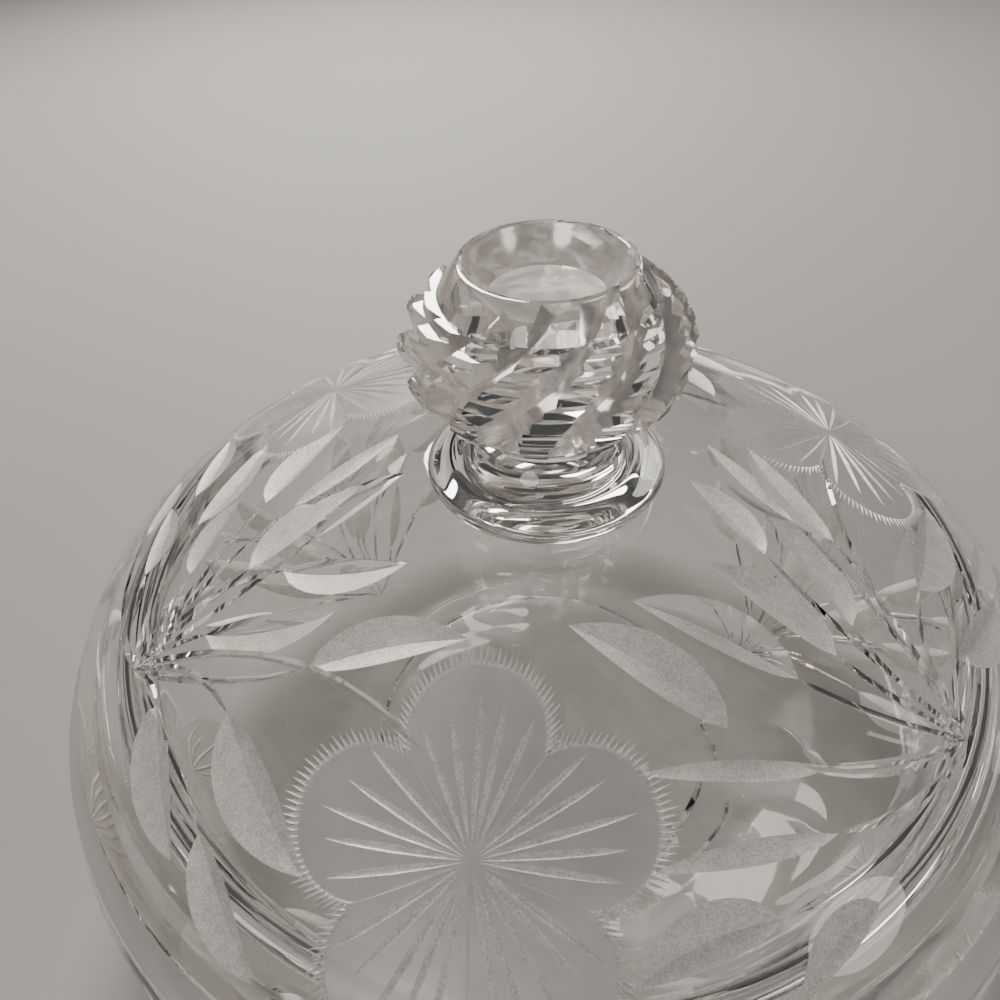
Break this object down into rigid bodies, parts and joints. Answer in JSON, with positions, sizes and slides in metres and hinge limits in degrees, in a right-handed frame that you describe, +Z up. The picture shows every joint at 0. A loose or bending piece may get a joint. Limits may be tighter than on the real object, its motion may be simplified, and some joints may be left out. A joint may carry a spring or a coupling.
{
  "type": "covered dish",
  "caption": "Low round cut-glass dish with a lift-off domed lid, a seat and lip at its rim, and a flattened ball knob with swirl cuts.",
  "frame": {"origin": "middle of the ground face that the bowl stands on", "axes": "+Z up along the axis of the bowl, lid and knob; -Y towards the side seen in the picture"},
  "size_m": [0.204, 0.204, 0.1389],
  "materials": {
    "bowl_glass": "polished clear glass with ground cuts",
    "dome_glass": "polished clear glass with frosted engraving",
    "knob_glass": "polished clear glass, deeply cut"
  },
  "bodies": {
    "bowl": {"dish_bowl": "bowl_glass"},
    "lid": {"lid_dome": "dome_glass", "knob_foot": "knob_glass", "lid_knob": "knob_glass"}
  },
  "joints": [
    {"name": "lid_lift", "type": "slide", "parent": "bowl", "child": "lid", "axis": [0, 0, 1], "range_m": [0, 0.08]}
  ]
}
